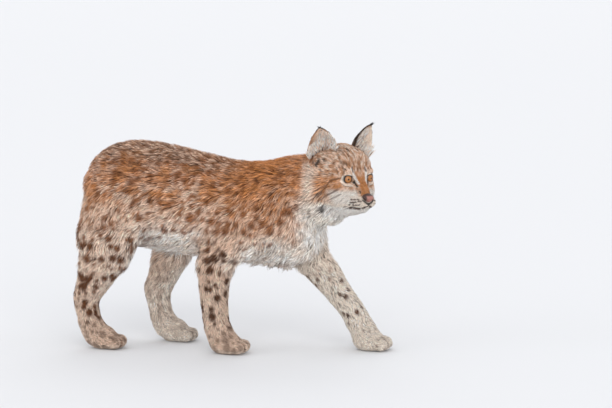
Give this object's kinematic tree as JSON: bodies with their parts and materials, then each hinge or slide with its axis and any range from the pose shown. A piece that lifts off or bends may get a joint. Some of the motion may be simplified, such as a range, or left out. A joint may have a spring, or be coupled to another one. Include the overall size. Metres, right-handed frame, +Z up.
{
  "type": "eurasian lynx",
  "caption": "Life-size still model of a young Eurasian lynx walking in thick winter coat, head turned to its right, ears up, short tail down.",
  "frame": {"origin": "On the floor under the middle of the bounding box.", "axes": "+X ahead along the body, +Y to the animal's left, +Z up."},
  "size_m": [0.7138, 0.2194, 0.52],
  "materials": {
    "coat": "dense winter fur, rusty with pale tips and dark spots",
    "ear_coat": "short fur, black behind and at the tip",
    "nose_skin": "bare moist skin",
    "eye": "clear glossy amber"
  },
  "bodies": {
    "root": {"torso": "coat", "neck": "coat", "head": "coat", "tail": "coat", "upper_foreleg_right": "coat", "lower_foreleg_right": "coat", "forepaw_right": "coat", "upper_foreleg_left": "coat", "lower_foreleg_left": "coat", "forepaw_left": "coat", "upper_hindleg_right": "coat", "lower_hindleg_right": "coat", "hindpaw_right": "coat", "upper_hindleg_left": "coat", "lower_hindleg_left": "coat", "hindpaw_left": "coat", "ear_right": "ear_coat", "ear_left": "ear_coat", "nose": "nose_skin", "eye_right": "eye", "eye_left": "eye"}
  },
  "joints": []
}
